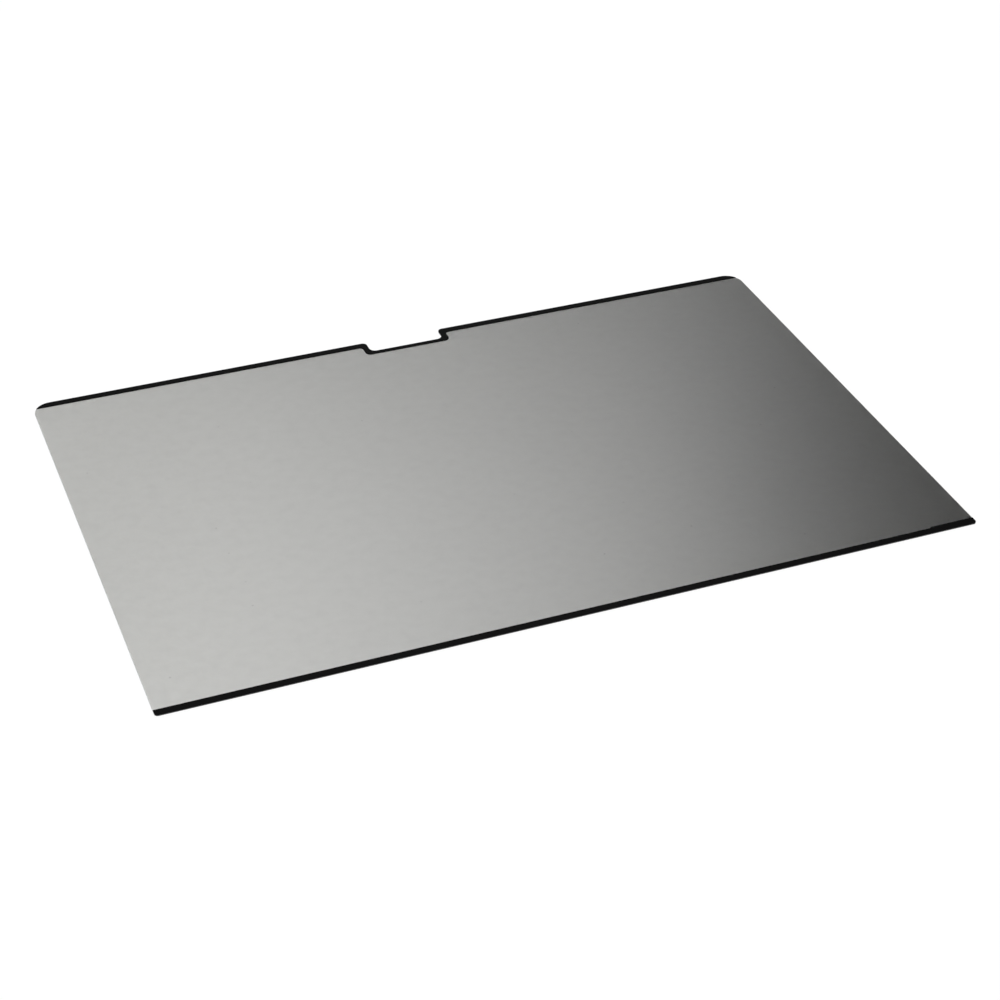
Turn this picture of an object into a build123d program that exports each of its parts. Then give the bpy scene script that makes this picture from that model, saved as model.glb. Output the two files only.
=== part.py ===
from build123d import *
import os

# Laptop privacy filter: a thin louvre film with a camera notch in its top edge, a black magnetic strip
# along that edge which is led round the notch, and a second magnetic strip along the bottom edge.
# Millimetres. The film lies on its plain face: X along the long side, Y towards the notch, Z up,
# with the origin under the middle of the film.

# Film, die cut from laminated sheet
film_width = 306.0
film_height = 198.3
film_thickness = 0.40
top_corner_radius = 7.0
bottom_corner_radius = 1.3

# Camera notch, cut in one stroke through the film and the top strip
notch_width = 31.2
notch_depth = 7.25
notch_mouth_radius = 1.85
notch_floor_radius = 2.55

# Magnetic strips, stuck to the upper face and cut flush with the film
strip_thickness = 0.20
top_strip_width = 3.15
bottom_strip_width = 2.8

# Border that the top strip makes round the notch
border_side_width = 2.45
border_floor_width = 2.15
border_corner_radius = 2.35
border_root_radius = 1.5

# Wider right-hand end of the bottom strip, where a fingernail lifts the filter
lift_end_length = 18.0
lift_end_rise = 0.55
lift_end_slope_length = 0.8

# Places that follow from the sizes
top_edge = film_height / 2
bottom_edge = -film_height / 2
right_edge = film_width / 2
notch_reach = notch_width / 2 + notch_mouth_radius
border_half_width = notch_width / 2 + border_side_width
border_reach = border_half_width + border_root_radius
border_depth = notch_depth + border_floor_width
strip_inner_edge = bottom_edge + bottom_strip_width
lift_end_start = right_edge - lift_end_length
film_face = Plane.XY.offset(film_thickness)

# Film: a sheet with large top corners, small bottom corners and the notch in the middle of its top edge
with BuildPart() as privacy_film:
    with BuildSketch() as film_outline:
        Rectangle(film_width, film_height)
        fillet(film_outline.vertices().group_by(Axis.Y)[-1], radius=top_corner_radius)
        fillet(film_outline.vertices().group_by(Axis.Y)[0], radius=bottom_corner_radius)
        with Locations((0, top_edge)):
            Rectangle(notch_width, notch_depth, align=(Align.CENTER, Align.MAX), mode=Mode.SUBTRACT)
        floor_corners = film_outline.vertices().filter_by_position(Axis.X, -notch_reach, notch_reach)
        fillet(floor_corners.group_by(Axis.Y)[0], radius=notch_floor_radius)
        mouth_corners = film_outline.vertices().filter_by_position(Axis.X, -notch_reach, notch_reach)
        fillet(mouth_corners.group_by(Axis.Y)[-1], radius=notch_mouth_radius)
    extrude(amount=film_thickness)

# Top strip: a straight run and the notch border in one piece, trimmed to the film's own outline
with BuildPart() as top_strip:
    with BuildSketch(film_face) as top_strip_outline:
        with Locations((0, top_edge)):
            Rectangle(film_width, top_strip_width, align=(Align.CENTER, Align.MAX))
            Rectangle(2 * border_half_width, border_depth, align=(Align.CENTER, Align.MAX))
        fillet(top_strip_outline.vertices().group_by(Axis.Y)[0], radius=border_corner_radius)
        root_corners = top_strip_outline.vertices().filter_by_position(Axis.X, -border_reach, border_reach)
        fillet(root_corners.group_by(Axis.Y)[-1], radius=border_root_radius)
        add(film_outline.sketch, mode=Mode.INTERSECT)
    extrude(amount=strip_thickness)

# Bottom strip: a straight run with its wider right-hand end, trimmed to the film's own outline
with BuildPart() as bottom_strip:
    with BuildSketch(film_face) as bottom_strip_outline:
        with Locations((0, bottom_edge)):
            Rectangle(film_width, bottom_strip_width, align=(Align.CENTER, Align.MIN))
        with BuildLine():
            Polyline(
                (right_edge, strip_inner_edge),
                (right_edge, strip_inner_edge + lift_end_rise),
                (lift_end_start + lift_end_slope_length, strip_inner_edge + lift_end_rise),
                (lift_end_start, strip_inner_edge),
                close=True,
            )
        make_face()
        add(film_outline.sketch, mode=Mode.INTERSECT)
    extrude(amount=strip_thickness)

os.makedirs("parts", exist_ok=True)

privacy_film.part.label = "privacy_film"
export_step(privacy_film.part, "parts/privacy_film.step")

top_strip.part.label = "top_strip"
export_step(top_strip.part, "parts/top_strip.step")

bottom_strip.part.label = "bottom_strip"
export_step(bottom_strip.part, "parts/bottom_strip.step")
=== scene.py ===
"""Looks of a laptop privacy filter: its louvre film, its two magnetic strips and the studio that it lies in.

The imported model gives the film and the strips. This script dresses them, stands the louvres inside the film,
lays the filter on a pale floor under soft light and sets the camera. Lengths are in metres and angles in
degrees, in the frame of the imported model: X along the film's long side, Y towards its camera notch, Z up.
"""

import logging
import math
from dataclasses import dataclass
from enum import Enum
from typing import Any

import bpy
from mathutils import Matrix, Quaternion, Vector


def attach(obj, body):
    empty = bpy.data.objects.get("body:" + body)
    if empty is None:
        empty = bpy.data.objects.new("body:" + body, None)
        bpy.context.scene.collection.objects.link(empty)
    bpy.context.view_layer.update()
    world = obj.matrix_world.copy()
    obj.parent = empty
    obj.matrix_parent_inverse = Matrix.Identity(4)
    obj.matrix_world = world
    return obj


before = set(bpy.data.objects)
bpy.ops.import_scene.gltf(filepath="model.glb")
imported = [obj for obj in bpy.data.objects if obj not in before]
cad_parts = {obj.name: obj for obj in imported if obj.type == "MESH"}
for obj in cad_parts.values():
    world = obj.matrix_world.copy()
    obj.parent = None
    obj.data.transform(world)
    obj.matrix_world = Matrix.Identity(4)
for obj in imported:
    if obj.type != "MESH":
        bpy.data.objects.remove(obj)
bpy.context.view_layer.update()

log = logging.getLogger("privacy_filter")

Colour = tuple[float, float, float]
Settings = dict[str, Any]
Sockets = dict[str | int, Any]

MM = 0.001
BODY = "root"
NOISE_MIDDLE = 0.5


class Value:
    """A number in a node tree: a socket with the operators that the finishes and the louvres use."""

    def __init__(self, sheet: "NodeSheet", socket: bpy.types.NodeSocket) -> None:
        """Keeps the socket, and the sheet that takes the Math nodes."""
        self.sheet = sheet
        self.socket = socket

    def __add__(self, other: "Value | float") -> "Value":
        """This number plus another."""
        return self.sheet.maths("ADD", self, other)

    def __radd__(self, other: float) -> "Value":
        """A plain number plus this one."""
        return self.sheet.maths("ADD", other, self)

    def __sub__(self, other: "Value | float") -> "Value":
        """This number less another."""
        return self.sheet.maths("SUBTRACT", self, other)

    def __rsub__(self, other: float) -> "Value":
        """A plain number less this one."""
        return self.sheet.maths("SUBTRACT", other, self)

    def __mul__(self, other: "Value | float") -> "Value":
        """This number times another."""
        return self.sheet.maths("MULTIPLY", self, other)

    def __rmul__(self, other: float) -> "Value":
        """A plain number times this one."""
        return self.sheet.maths("MULTIPLY", other, self)

    def __truediv__(self, other: "Value | float") -> "Value":
        """This number divided by another."""
        return self.sheet.maths("DIVIDE", self, other)

    def __rtruediv__(self, other: float) -> "Value":
        """A plain number divided by this one."""
        return self.sheet.maths("DIVIDE", other, self)


class NodeSheet:
    """A node tree that is being drawn up, for a material, the world or a mesh."""

    # Places of a Mix node's sockets for colours: their names are the same for every kind of data
    MIX_FACTOR = 0
    MIX_FIRST = 6
    MIX_SECOND = 7
    MIX_RESULT = 2

    def __init__(self, tree: bpy.types.NodeTree) -> None:
        """Starts on a bare tree."""
        self.tree = tree
        tree.nodes.clear()

    def node(self, kind: str, settings: Settings | None = None, sockets: Sockets | None = None) -> Any:
        """Adds a node to the tree.

        Args:
            kind: Blender's name of the node's type.
            settings: The node's own settings, which are set first.
            sockets: What goes into its inputs, by name or place: a Value, an output socket or a plain value.

        Returns:
            The new node.
        """
        made = self.tree.nodes.new(kind)
        for name, setting in (settings or {}).items():
            setattr(made, name, setting)
        for key, given in (sockets or {}).items():
            self.feed(made.inputs[key], given)
        return made

    def feed(self, target: bpy.types.NodeSocket, given: Any) -> None:
        """Links an output to an input, or sets the input to a plain value.

        Args:
            target: The input.
            given: A Value, an output socket or a plain value.
        """
        source = given.socket if isinstance(given, Value) else given
        if isinstance(source, bpy.types.NodeSocket):
            self.tree.links.new(source, target)
        else:
            target.default_value = source

    def value(self, node: bpy.types.Node, output: str | int = 0) -> Value:
        """One of a node's outputs, as a number to reckon with."""
        return Value(self, node.outputs[output])

    def maths(self, operation: str, *terms: Value | float) -> Value:
        """A Math node on one or more numbers."""
        return self.value(self.node("ShaderNodeMath", {"operation": operation}, dict(enumerate(terms))))

    def split(self, vector: bpy.types.NodeSocket) -> tuple[Value, ...]:
        """The X, Y and Z of a vector."""
        parts = self.node("ShaderNodeSeparateXYZ", None, {0: vector})
        return tuple(self.value(parts, axis) for axis in "XYZ")

    def vector(self, x: Value | float, y: Value | float, z: Value | float) -> bpy.types.NodeSocket:
        """A vector made of three numbers."""
        return self.node("ShaderNodeCombineXYZ", None, {"X": x, "Y": y, "Z": z}).outputs[0]

    def mixed(self, factor: Value | float, first: Any, second: Any) -> bpy.types.NodeSocket:
        """A colour that goes from first to second as the factor goes from 0 to 1."""
        sockets = {self.MIX_FACTOR: factor, self.MIX_FIRST: first, self.MIX_SECOND: second}
        return self.node("ShaderNodeMix", {"data_type": "RGBA"}, sockets).outputs[self.MIX_RESULT]

    def step(self, number: Value, start: float, end: float) -> Value:
        """A smooth step from 0 to 1.

        Args:
            number: What the step follows.
            start: Where the step leaves 0.
            end: Where it reaches 1.

        Returns:
            The height of the step.
        """
        ramp = self.node(
            "ShaderNodeMapRange",
            {"interpolation_type": "SMOOTHSTEP"},
            {"Value": number, "From Min": start, "From Max": end},
        )
        return self.value(ramp)

    def noise(self, place: bpy.types.NodeSocket, grain: float, detail: float = 2.0) -> Value:
        """Noise from 0 to 1 whose lumps are about as large as the grain."""
        sockets = {"Vector": place, "Scale": 1 / grain, "Detail": detail}
        return self.value(self.node("ShaderNodeTexNoise", None, sockets))

    def bump(self, height: Value, depth: float) -> bpy.types.NodeSocket:
        """The normal of a relief that follows a number from 0 to 1 and is as deep as the depth."""
        return self.node("ShaderNodeBump", None, {"Height": height, "Distance": depth}).outputs["Normal"]


def rgba(colour: Colour) -> tuple[float, float, float, float]:
    """A colour with full alpha, as a colour socket takes it."""
    return (*colour, 1.0)


def shaded(colour: Colour, share: float) -> Colour:
    """A colour made lighter by a share of itself, or darker by a share below 0."""
    return tuple(part * (1 + share) for part in colour)


def direction(azimuth: float, elevation: float) -> Vector:
    """A unit vector, with the azimuth counted from +Y towards +X and the elevation from level upwards."""
    turn, rise = math.radians(azimuth), math.radians(elevation)
    return Vector((math.sin(turn) * math.cos(rise), math.cos(turn) * math.cos(rise), math.sin(rise)))


def placed(name: str, data: bpy.types.ID) -> bpy.types.Object:
    """Adds an object to the scene.

    Args:
        name: The object's name.
        data: Its mesh, light or camera.

    Returns:
        The new object.
    """
    made = bpy.data.objects.new(name, data)
    bpy.context.scene.collection.objects.link(made)
    return made


def dressed(node: str, material: bpy.types.Material) -> bpy.types.Object:
    """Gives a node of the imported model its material.

    Args:
        node: The node's name.
        material: The material.

    Returns:
        The node's object.
    """
    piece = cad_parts[node]
    piece.material_slots[0].material = material
    return piece


class Finish:
    """What the finishes have in common: a material of their own name, and the steps that they share."""

    name: str

    def start(self) -> tuple[bpy.types.Material, NodeSheet]:
        """Makes the material, still bare.

        Returns:
            The material, and its sheet.
        """
        material = bpy.data.materials.new(self.name)
        material.use_nodes = True
        return material, NodeSheet(material.node_tree)

    @staticmethod
    def uneven(middle: float, noise: Value, spread: float) -> Value:
        """A number that noise carries off its middle, by half the spread each way."""
        return middle + (noise - NOISE_MIDDLE) * spread

    @staticmethod
    def surface(sheet: NodeSheet, sockets: Sockets) -> None:
        """Ends a sheet with a Principled shader that takes these sockets."""
        shader = sheet.node("ShaderNodeBsdfPrincipled", None, sockets)
        sheet.node("ShaderNodeOutputMaterial", None, {"Surface": shader.outputs[0]})


@dataclass(frozen=True)
class FilmFinish(Finish):
    """The film's own resin: see-through, matte on both faces, and dark where a wall cuts across the louvres.

    Attributes:
        name: The material's name.
        tint: Colour of the resin at the faces.
        side_tint: Colour of the walls along the louvres.
        end_tint: Colour of the walls across the louvres, and of dust.
        face_turn: Upward share of the normal at which a wall turns into a face.
        end_turn: Share of the normal along Y at which a wall along the louvres turns into one across them.
        index: Refractive index.
        clearness: Share of the light that may pass.
        roughness: Middle roughness.
        roughness_spread: Roughness from the smoothest place to the roughest.
        mottle_grain: Size of the clouds in the tint.
        mottle_detail: Octaves of finer clouds within them.
        mottle: Share by which a cloud is lighter or darker.
        peel_grain: Size of the ripples in the faces.
        peel_depth: Depth of the ripples.
        dust_spacing: Size of the cells that have room for one grain of dust each.
        dust_radius: Radius of a grain.
        dust_share: Share of the cells that hold a grain.
        dust: Darkness of the strongest grain.
    """

    name: str = "matte_film"
    tint: Colour = (0.874, 0.876, 0.842)
    side_tint: Colour = (0.20, 0.20, 0.195)
    end_tint: Colour = (0.004, 0.004, 0.004)
    face_turn: tuple[float, float] = (0.4, 0.6)
    end_turn: tuple[float, float] = (0.3, 0.7)
    index: float = 1.58
    clearness: float = 1.0
    roughness: float = 0.30
    roughness_spread: float = 0.04
    mottle_grain: float = 5 * MM
    mottle_detail: float = 4.0
    mottle: float = 0.11
    peel_grain: float = 4 * MM
    peel_depth: float = 0.06 * MM
    dust_spacing: float = 18 * MM
    dust_radius: float = 0.6 * MM
    dust_share: float = 0.3
    dust: float = 0.45

    def specks(self, sheet: NodeSheet, place: bpy.types.NodeSocket) -> Value:
        """Grains of dust, most of them faint: up to 1 in the middle of a grain and 0 on the bare film.

        Args:
            sheet: The sheet that takes the nodes.
            place: The coordinates that the grains lie by.

        Returns:
            How much dust there is at each place.
        """
        cells = sheet.node(
            "ShaderNodeTexVoronoi",
            {"voronoi_dimensions": "2D"},
            {"Vector": place, "Scale": 1 / self.dust_spacing},
        )
        chance = sheet.value(sheet.node("ShaderNodeSeparateColor", None, {0: cells.outputs["Color"]}))
        near = 1 - sheet.step(sheet.value(cells, "Distance"), 0.0, self.dust_radius / self.dust_spacing)
        weight = sheet.maths("MAXIMUM", 1 - chance / self.dust_share, 0.0)
        return near * weight * weight

    def material(self) -> bpy.types.Material:
        """Makes the film's material.

        Returns:
            The material.
        """
        material, sheet = self.start()
        coordinates = sheet.node("ShaderNodeTexCoord")
        place = coordinates.outputs["Object"]
        _, along, up = sheet.split(coordinates.outputs["Normal"])
        face = sheet.step(sheet.maths("ABSOLUTE", up), *self.face_turn)
        end = sheet.step(sheet.maths("ABSOLUTE", along), *self.end_turn)
        wall = sheet.mixed(end, rgba(self.side_tint), rgba(self.end_tint))
        mottle = sheet.noise(place, self.mottle_grain, self.mottle_detail)
        dark, light = shaded(self.tint, -self.mottle), shaded(self.tint, self.mottle)
        clouded = sheet.mixed(mottle, rgba(dark), rgba(light))
        dusty = sheet.mixed(self.specks(sheet, place) * self.dust, clouded, rgba(self.end_tint))
        peel = sheet.noise(place, self.peel_grain)
        self.surface(
            sheet,
            {
                "Base Color": sheet.mixed(face, wall, dusty),
                "Roughness": self.uneven(self.roughness, mottle, self.roughness_spread),
                "IOR": self.index,
                "Transmission Weight": self.clearness,
                "Normal": sheet.bump(peel, self.peel_depth),
            },
        )
        return material


@dataclass(frozen=True)
class StripFinish(Finish):
    """Black magnetic sheet with a fine matte grain.

    Attributes:
        name: The material's name.
        black: Colour in the hollows of the grain.
        worn: Colour on its tops.
        roughness: Middle roughness.
        roughness_spread: Roughness from the hollows to the tops.
        shine: Level of the gloss, where 0.5 is that of plain plastic.
        grain: Size of the grain.
        grain_detail: Octaves of finer grain within it.
        grain_depth: Depth of the grain.
    """

    name: str = "black_magnet_sheet"
    black: Colour = (0.0010, 0.0010, 0.0010)
    worn: Colour = (0.0022, 0.0022, 0.0022)
    roughness: float = 0.53
    roughness_spread: float = 0.12
    shine: float = 0.022
    grain: float = 0.6 * MM
    grain_detail: float = 3.0
    grain_depth: float = 0.01 * MM

    def material(self) -> bpy.types.Material:
        """Makes the strips' material.

        Returns:
            The material.
        """
        material, sheet = self.start()
        place = sheet.node("ShaderNodeTexCoord").outputs["Object"]
        grain = sheet.noise(place, self.grain, self.grain_detail)
        self.surface(
            sheet,
            {
                "Base Color": sheet.mixed(grain, rgba(self.black), rgba(self.worn)),
                "Roughness": self.uneven(self.roughness, grain, self.roughness_spread),
                "Specular IOR Level": self.shine,
                "Normal": sheet.bump(grain, self.grain_depth),
            },
        )
        return material


@dataclass(frozen=True)
class LouvreFinish(Finish):
    """Black resin of the louvres, without gloss because the clear resin wets it.

    Attributes:
        name: The material's name.
        black: Colour where the resin is thickest.
        thin: Colour where it is thinnest.
        roughness: Roughness.
        shine: Level of the gloss.
        grain: Size of the thick and thin places.
    """

    name: str = "black_louvre_resin"
    black: Colour = (0.002, 0.002, 0.002)
    thin: Colour = (0.006, 0.006, 0.006)
    roughness: float = 0.8
    shine: float = 0.0
    grain: float = 8 * MM

    def material(self) -> bpy.types.Material:
        """Makes the louvres' material.

        Returns:
            The material.
        """
        material, sheet = self.start()
        streak = sheet.noise(sheet.node("ShaderNodeTexCoord").outputs["Object"], self.grain)
        self.surface(
            sheet,
            {
                "Base Color": sheet.mixed(streak, rgba(self.black), rgba(self.thin)),
                "Roughness": self.roughness,
                "Specular IOR Level": self.shine,
            },
        )
        return material


@dataclass(frozen=True)
class FloorFinish(Finish):
    """Pale floor: white to look at, straight or through the film, with a share left for the filter's shadow.

    Attributes:
        name: The material's name.
        colour: Colour under the lights.
        glow: Strength of the white.
        shadow_share: Share of the floor's tone that the lights and the shadow make.
    """

    name: str = "pale_floor"
    colour: Colour = (0.95, 0.95, 0.95)
    glow: float = 1.0
    shadow_share: float = 0.10

    def material(self) -> bpy.types.Material:
        """Makes the floor's material.

        Returns:
            The material.
        """
        material, sheet = self.start()
        path = sheet.node("ShaderNodeLightPath")
        seen = (
            sheet.value(path, "Is Camera Ray")
            + sheet.value(path, "Is Glossy Ray")
            + sheet.value(path, "Is Transmission Ray")
        )
        white = sheet.maths("MINIMUM", seen, 1.0) * (1 - self.shadow_share)
        lit = sheet.node("ShaderNodeBsdfDiffuse", None, {"Color": rgba(self.colour)})
        glow = sheet.node("ShaderNodeEmission", None, {"Strength": self.glow})
        blend = sheet.node("ShaderNodeMixShader", None, {0: white, 1: lit.outputs[0], 2: glow.outputs[0]})
        sheet.node("ShaderNodeOutputMaterial", None, {"Surface": blend.outputs[0]})
        return material


class FilmEdge(Enum):
    """A long edge of the film: the node of the strip that is stuck along it, and the way to it along Y."""

    TOP = ("top_strip", 1.0)
    BOTTOM = ("bottom_strip", -1.0)

    def __init__(self, strip: str, way: float) -> None:
        """Keeps the strip's node and the way."""
        self.strip = strip
        self.way = way


@dataclass
class PrivacyFilm:
    """The film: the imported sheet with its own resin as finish."""

    node: str = "privacy_film"

    def dress(self, finish: FilmFinish) -> bpy.types.Object:
        """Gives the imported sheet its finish."""
        return dressed(self.node, finish.material())


@dataclass
class MicroLouvres:
    """Upright black slats inside the film, side by side along X, which hide the screen from the sides.

    Attributes:
        name: The piece's name.
        pitch: Distance from one slat to the next.
        thickness: Thickness of a slat, along X.
        height: Height of a slat, half above the film's middle and half below it.
        margin: Clearance that a slat keeps from the film's rim.
    """

    name: str = "micro_louvres"
    pitch: float = 0.12 * MM
    thickness: float = 0.0135 * MM
    height: float = 0.2853 * MM
    margin: float = 0.04 * MM

    def tree(self) -> tuple[bpy.types.NodeTree, dict[str, str]]:
        """Draws up the tree that stands the slats in a sheet and ends each one short of the sheet's rim.

        Returns:
            The tree, and the identifier of each of its inputs by name.
        """
        group = bpy.data.node_groups.new(self.name, "GeometryNodeTree")
        sheet = NodeSheet(group)
        group.interface.new_socket("Geometry", in_out="OUTPUT", socket_type="NodeSocketGeometry")
        sizes = ("Pitch", "Thickness", "Height", "Margin")
        kinds = {"Sheet": "Object", "Finish": "Material"} | {size: "Float" for size in sizes}
        names = {
            name: group.interface.new_socket(name, in_out="INPUT", socket_type=f"NodeSocket{kind}").identifier
            for name, kind in kinds.items()
        }
        given = sheet.node("NodeGroupInput")
        pitch, thickness, height, margin = (sheet.value(given, size) for size in sizes)
        source = sheet.node("GeometryNodeObjectInfo", None, {"Object": given.outputs["Sheet"]})
        shell = source.outputs["Geometry"]
        row, level = self.row(sheet, shell, pitch, margin)
        here, _, _ = sheet.split(sheet.node("GeometryNodeInputPosition").outputs[0])
        top = self.reach(sheet, shell, here, level, margin, FilmEdge.TOP) - margin
        bottom = self.reach(sheet, shell, here, level, margin, FilmEdge.BOTTOM) + margin
        middle = sheet.vector(here, (top + bottom) / 2, level)
        points = sheet.node("GeometryNodeSetPosition", None, {"Geometry": row, "Position": middle})
        # A cube of one metre a side, whose scale makes it a slat
        cube = sheet.node("GeometryNodeMeshCube")
        slats = sheet.node(
            "GeometryNodeInstanceOnPoints",
            None,
            {
                "Points": points.outputs[0],
                "Instance": cube.outputs[0],
                "Scale": sheet.vector(thickness, top - bottom, height),
            },
        )
        solid = sheet.node("GeometryNodeRealizeInstances", None, {"Geometry": slats.outputs[0]})
        black = sheet.node(
            "GeometryNodeSetMaterial",
            None,
            {"Geometry": solid.outputs[0], "Material": given.outputs["Finish"]},
        )
        sheet.node("NodeGroupOutput", None, {"Geometry": black.outputs[0]})
        return group, names

    @staticmethod
    def row(
        sheet: NodeSheet, shell: bpy.types.NodeSocket, pitch: Value, margin: Value
    ) -> tuple[bpy.types.NodeSocket, Value]:
        """Sets out as many points as the film has room for, one for each slat, about the film's middle.

        Args:
            sheet: The sheet that takes the nodes.
            shell: The film's mesh.
            pitch: The distance from one point to the next.
            margin: The clearance that the slats keep.

        Returns:
            The row of points, and its level.
        """
        box = sheet.node("GeometryNodeBoundBox", None, {"Geometry": shell})
        left, _, under = sheet.split(box.outputs["Min"])
        right, _, over = sheet.split(box.outputs["Max"])
        level = (over + under) / 2
        count = sheet.maths("FLOOR", (right - left - margin * 2) / pitch)
        line = sheet.node(
            "GeometryNodeMeshLine",
            None,
            {
                "Count": count,
                "Start Location": sheet.vector((1 - count) * pitch / 2, 0.0, level),
                "Offset": sheet.vector(pitch, 0.0, 0.0),
            },
        )
        return line.outputs[0], level

    @staticmethod
    def reach(
        sheet: NodeSheet, shell: bpy.types.NodeSocket, x: Value, z: Value, margin: Value, edge: FilmEdge
    ) -> Value:
        """How far along Y a slat may go before it or its margin meets the sheet's rim.

        Args:
            sheet: The sheet that takes the nodes.
            shell: The film's mesh.
            x: The slat's place along X.
            z: The level of the slat's middle.
            margin: The clearance that the slat keeps.
            edge: The edge that the slat runs to.

        Returns:
            The Y that comes first, seen from the film's middle.
        """
        ends = []
        for side in (x - margin, x + margin):
            ray = sheet.node(
                "GeometryNodeRaycast",
                None,
                {
                    "Target Geometry": shell,
                    "Source Position": sheet.vector(side, 0.0, z),
                    "Ray Direction": (0.0, edge.way, 0.0),
                },
            )
            _, end, _ = sheet.split(ray.outputs["Hit Position"])
            ends.append(end)
        return sheet.maths("MINIMUM" if edge is FilmEdge.TOP else "MAXIMUM", *ends)

    def build(self, film: bpy.types.Object, finish: LouvreFinish) -> bpy.types.Object:
        """Makes the slats as one plain mesh.

        Args:
            film: The sheet that they stand in.
            finish: Their finish.

        Returns:
            The new object.
        """
        piece = placed(self.name, bpy.data.meshes.new(self.name))
        modifier = piece.modifiers.new(self.name, "NODES")
        modifier.node_group, names = self.tree()
        given = {
            "Sheet": film,
            "Finish": finish.material(),
            "Pitch": self.pitch,
            "Thickness": self.thickness,
            "Height": self.height,
            "Margin": self.margin,
        }
        for name, value in given.items():
            modifier[names[name]] = value
        graph = bpy.context.evaluated_depsgraph_get()
        mesh = bpy.data.meshes.new_from_object(piece.evaluated_get(graph), depsgraph=graph)
        piece.modifiers.remove(modifier)
        piece.data = mesh
        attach(piece, BODY)
        return piece


@dataclass
class MagneticStrip:
    """One of the black strips that hold the filter to the screen, by the edge that it is stuck along."""

    edge: FilmEdge

    def dress(self, material: bpy.types.Material) -> bpy.types.Object:
        """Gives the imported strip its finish."""
        return dressed(self.edge.strip, material)


@dataclass(frozen=True)
class Softbox:
    """A rectangular studio light that faces the filter.

    Attributes:
        name: The light's name.
        azimuth: Where it hangs, counted from +Y towards +X.
        elevation: How high it hangs, counted from level.
        distance: Distance from the film's middle.
        width: Its width.
        height: Its height.
        radiance: Its brightness, where 1 renders as white.
    """

    name: str
    azimuth: float
    elevation: float
    distance: float
    width: float
    height: float
    radiance: float

    def build(self) -> bpy.types.Object:
        """Hangs the light.

        Returns:
            The new light.
        """
        lamp = bpy.data.lights.new(self.name, "AREA")
        lamp.shape = "RECTANGLE"
        lamp.size = self.width
        lamp.size_y = self.height
        lamp.energy = self.radiance * math.pi * self.width * self.height
        box = placed(self.name, lamp)
        towards = direction(self.azimuth, self.elevation)
        box.location = towards * self.distance
        box.rotation_mode = "QUATERNION"
        box.rotation_quaternion = towards.to_track_quat("Z", "Y")
        box.visible_camera = False
        return box


@dataclass(frozen=True)
class Surround:
    """What the filter mirrors: a white horizon, a dimmer studio above and a dark flag behind on the right.

    A pair of bounds is told on one axis of the unit vector that points at them from the filter.

    Attributes:
        studio: Brightness of the studio.
        horizon: Brightness of the horizon.
        horizon_fade: Where the horizon starts to fade and where it has faded, on Z.
        flag_side: Where the flag starts at its left and where it is dark, on X.
        flag_front: Where the flag starts at its front and where it is dark, on Y.
    """

    studio: float = 0.86
    horizon: float = 1.0
    horizon_fade: tuple[float, float] = (0.08, 0.25)
    flag_side: tuple[float, float] = (0.41, 0.50)
    flag_front: tuple[float, float] = (0.0, 0.3)

    def build(self) -> None:
        """Paints the world."""
        world = bpy.data.worlds.new("studio")
        world.use_nodes = True
        bpy.context.scene.world = world
        sheet = NodeSheet(world.node_tree)
        across, along, up = sheet.split(sheet.node("ShaderNodeTexCoord").outputs["Generated"])
        above = sheet.step(up, *self.horizon_fade)
        right = sheet.step(across, *self.flag_side)
        behind = sheet.step(along, *self.flag_front)
        studio = self.studio * (1 - right * behind)
        strength = self.horizon + (studio - self.horizon) * above
        glow = sheet.node("ShaderNodeBackground", None, {"Strength": strength})
        sheet.node("ShaderNodeOutputWorld", None, {"Surface": glow.outputs[0]})


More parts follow.
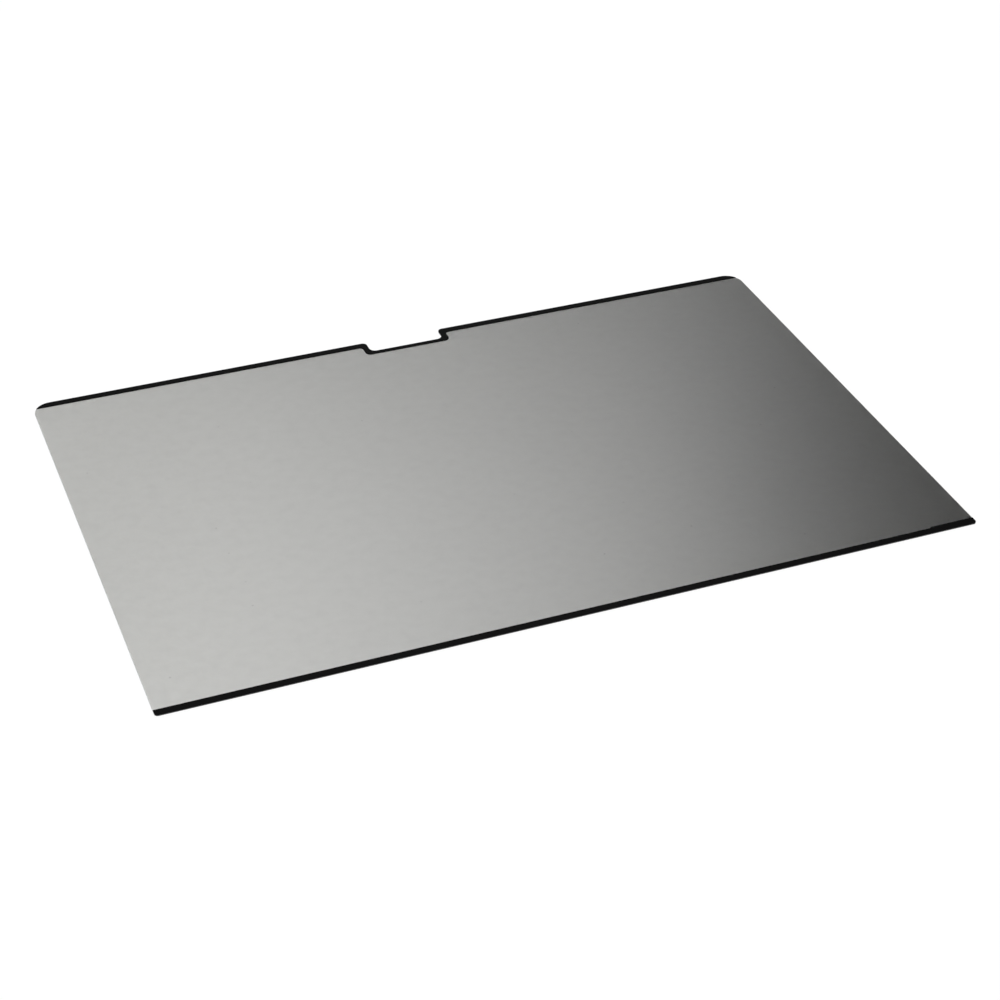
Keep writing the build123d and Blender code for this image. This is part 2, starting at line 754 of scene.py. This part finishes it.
@dataclass
class Studio:
    """The pale floor, the surround and the lights.

    Attributes:
        floor_side: Length of the floor's sides.
        floor_gap: Gap between the floor and the film.
        surround: The surround.
        softboxes: The lights.
    """

    floor_side: float = 80.0
    floor_gap: float = 0.05 * MM
    surround: Surround = Surround()
    softboxes: tuple[Softbox, ...] = (
        Softbox("back_softbox", 19.1, 63.6, distance=1.6, width=0.66, height=1.94, radiance=2.82),
        Softbox("front_softbox", 200.0, 60.0, distance=2.0, width=1.2, height=1.2, radiance=2.5),
    )

    def build(self) -> None:
        """Lays the floor, paints the surround and hangs the lights."""
        self.lay_floor(FloorFinish())
        self.surround.build()
        for box in self.softboxes:
            box.build()

    def lay_floor(self, finish: FloorFinish) -> None:
        """Lays a flat sheet just under the film.

        Args:
            finish: The floor's finish.
        """
        half = self.floor_side / 2
        mesh = bpy.data.meshes.new("floor")
        corners = [(-half, -half), (half, -half), (half, half), (-half, half)]
        mesh.from_pydata([(x, y, -self.floor_gap) for x, y in corners], [], [(0, 1, 2, 3)])
        mesh.materials.append(finish.material())
        floor = placed("floor", mesh)


@dataclass
class PhotoCamera:
    """The camera at the photograph's viewing angle.

    Attributes:
        name: The camera's name.
        azimuth: The way it looks, counted from +Y towards +X.
        elevation: How far it looks down, counted from level.
        roll: How far it is turned about its own line of sight.
        lens: Focal length in millimetres.
        distance: Distance from the place that it looks at.
        aim: That place.
    """

    name: str = "photo_camera"
    azimuth: float = 21.704
    elevation: float = 34.901
    roll: float = 0.698
    lens: float = 78.568
    distance: float = 804.945 * MM
    aim: tuple[float, float, float] = (-4.503 * MM, -24.315 * MM, 0.0)

    def build(self) -> bpy.types.Object:
        """Sets up the camera.

        Returns:
            The new camera.
        """
        data = bpy.data.cameras.new(self.name)
        data.lens = self.lens
        camera = placed(self.name, data)
        ahead = direction(self.azimuth, -self.elevation)
        camera.location = Vector(self.aim) - ahead * self.distance
        camera.rotation_mode = "QUATERNION"
        tilt = Quaternion((0.0, 0.0, 1.0), math.radians(self.roll))
        camera.rotation_quaternion = (-ahead).to_track_quat("Z", "Y") @ tilt
        bpy.context.scene.camera = camera
        return camera


def main() -> None:
    """Builds the studio and the filter, and reports each piece."""
    logging.basicConfig(level=logging.INFO, format="%(name)s: %(message)s")
    bpy.context.scene.view_settings.view_transform = "Standard"
    Studio().build()
    PhotoCamera().build()
    film = PrivacyFilm().dress(FilmFinish())
    log.info("%s dressed", film.name)
    louvres = MicroLouvres().build(film, LouvreFinish())
    log.info("%s built, %d faces", louvres.name, len(louvres.data.polygons))
    magnet = StripFinish().material()
    for edge in FilmEdge:
        strip = MagneticStrip(edge).dress(magnet)
        log.info("%s dressed", strip.name)


if __name__ == "__main__":
    main()
